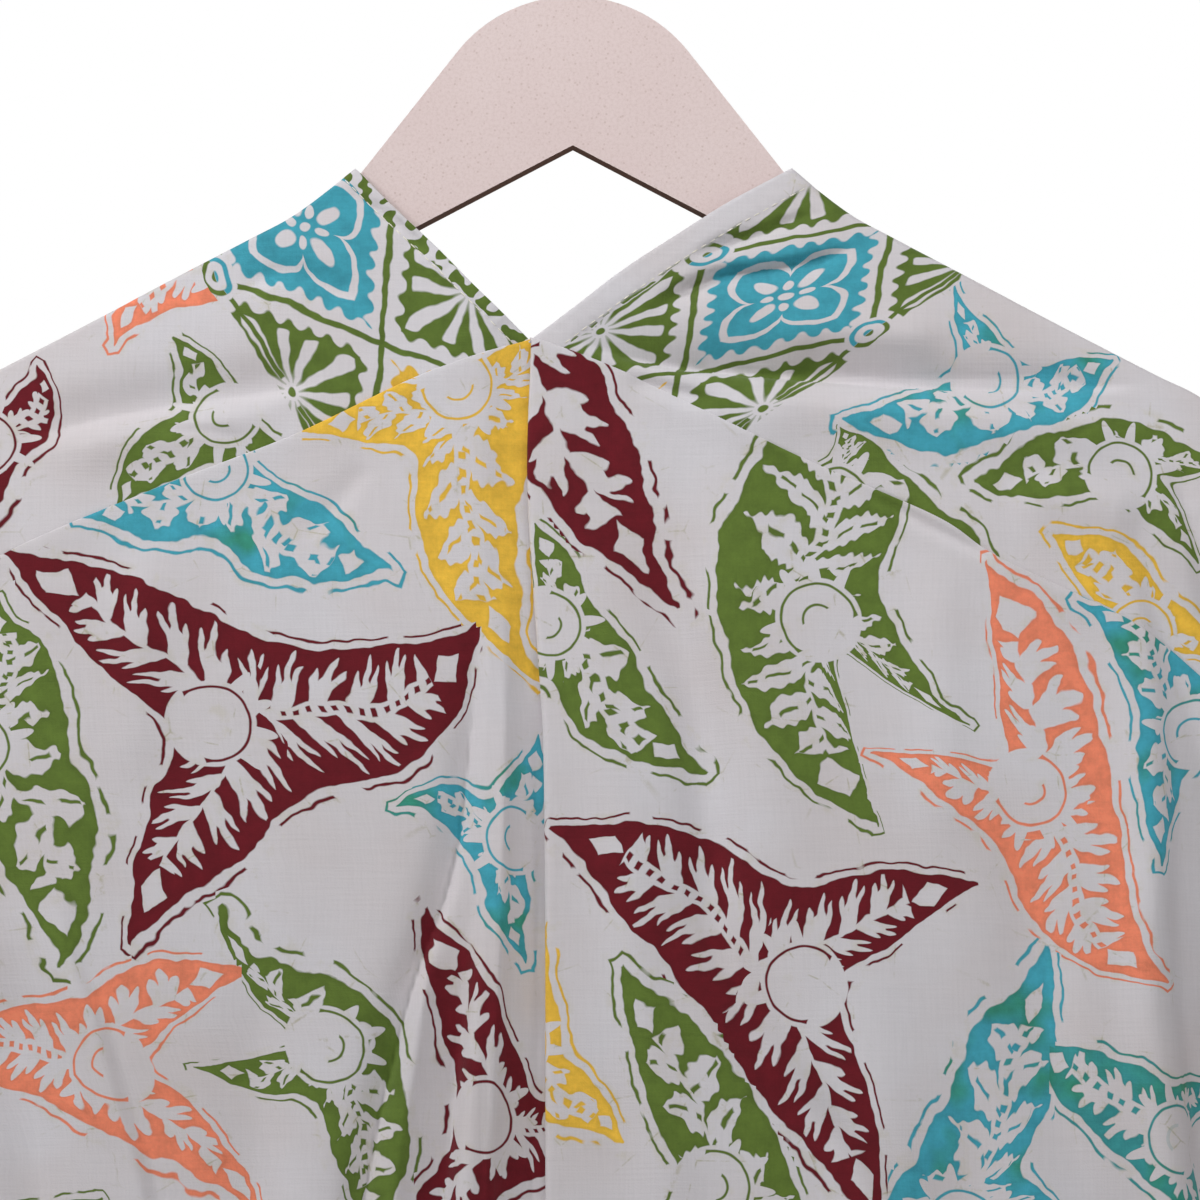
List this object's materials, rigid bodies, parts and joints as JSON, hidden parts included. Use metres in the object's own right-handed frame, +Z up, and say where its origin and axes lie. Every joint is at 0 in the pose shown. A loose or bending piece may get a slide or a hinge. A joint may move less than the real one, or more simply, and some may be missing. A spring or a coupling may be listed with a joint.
{
  "type": "batik kaftan dress on a flat board hanger",
  "caption": "Loose V-neck batik cotton kaftan dress with yokes running into short sleeves and a pleated centre, hung on a flat board hanger with a wire hook.",
  "frame": {"origin": "inside top of the hanger's hook, where a rail carries it", "axes": "+Z up, -Y towards someone who looks at the shown face with the shallow V neck, +X to their right"},
  "size_m": [0.5684, 0.0865, 1.1372],
  "materials": {
    "batik_cotton": "matte plain-weave cotton, off-white, hand-stamped in maroon, olive, turquoise, coral and yellow",
    "hanger_board": "pale pinkish-beige fibreboard, cut edge scorched dark brown",
    "hanger_wire": "bright plated steel wire"
  },
  "bodies": {
    "root": {"hanger_board": "hanger_board", "hanger_hook": "hanger_wire", "yoke_right": "batik_cotton", "yoke_left": "batik_cotton", "front_body_right": "batik_cotton", "front_body_left": "batik_cotton", "back_body": "batik_cotton"}
  },
  "joints": []
}
